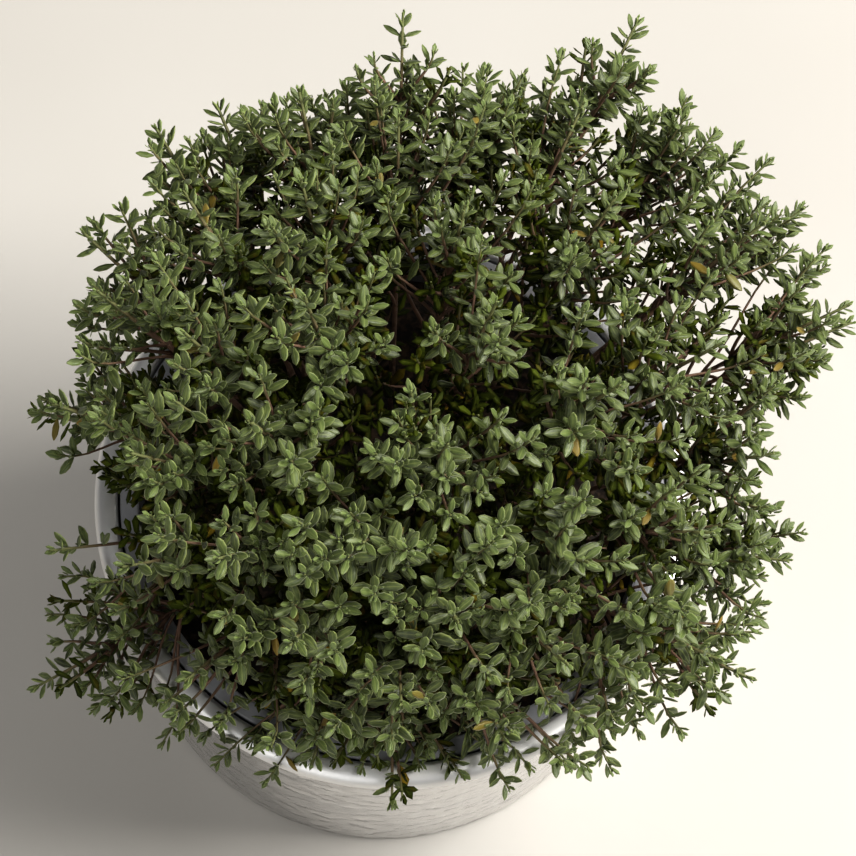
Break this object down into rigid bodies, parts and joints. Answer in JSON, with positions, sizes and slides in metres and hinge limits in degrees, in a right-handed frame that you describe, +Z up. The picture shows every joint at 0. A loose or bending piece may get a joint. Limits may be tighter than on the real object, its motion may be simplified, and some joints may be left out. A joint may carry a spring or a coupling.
{
  "type": "potted thyme",
  "caption": "Dense bush of garden thyme growing in soil, in a plain liner set in a squat round hammered metal pot with a smooth rolled rim",
  "frame": {"origin": "centre of the pot's flat underside, on the pot's axis", "axes": "+Z up along the pot's axis; the picture looks along +Y and steeply down, with +X to its right"},
  "size_m": [0.2163, 0.1984, 0.2121],
  "materials": {
    "hammered_metal": "satin",
    "liner_grey": "satin",
    "potting_soil": "matte",
    "thyme": "matte"
  },
  "bodies": {
    "root": {"pot": "hammered_metal", "liner": "liner_grey", "soil": "potting_soil", "leafy_stem_01": "thyme", "leafy_stem_02": "thyme", "leafy_stem_03": "thyme", "leafy_stem_04": "thyme", "leafy_stem_05": "thyme", "leafy_stem_06": "thyme", "leafy_stem_07": "thyme", "leafy_stem_08": "thyme", "leafy_stem_09": "thyme", "leafy_stem_10": "thyme", "leafy_stem_11": "thyme", "leafy_stem_12": "thyme", "leafy_stem_13": "thyme", "leafy_stem_14": "thyme", "leafy_stem_15": "thyme", "leafy_stem_16": "thyme", "leafy_stem_17": "thyme", "leafy_stem_18": "thyme", "leafy_stem_19": "thyme", "leafy_stem_20": "thyme", "leafy_stem_21": "thyme", "leafy_stem_22": "thyme", "leafy_stem_23": "thyme", "leafy_stem_24": "thyme", "leafy_stem_25": "thyme", "leafy_stem_26": "thyme", "leafy_stem_27": "thyme", "leafy_stem_28": "thyme", "leafy_stem_29": "thyme", "leafy_stem_30": "thyme", "leafy_stem_31": "thyme", "leafy_stem_32": "thyme", "leafy_stem_33": "thyme", "leafy_stem_34": "thyme", "leafy_stem_35": "thyme", "leafy_stem_36": "thyme", "leafy_stem_37": "thyme", "leafy_stem_38": "thyme", "leafy_stem_39": "thyme", "leafy_stem_40": "thyme", "leafy_stem_41": "thyme", "leafy_stem_42": "thyme", "leafy_stem_43": "thyme", "leafy_stem_44": "thyme", "leafy_stem_45": "thyme", "leafy_stem_46": "thyme", "leafy_stem_47": "thyme", "leafy_stem_48": "thyme", "leafy_stem_49": "thyme", "leafy_stem_50": "thyme", "leafy_stem_51": "thyme"}
  },
  "joints": []
}
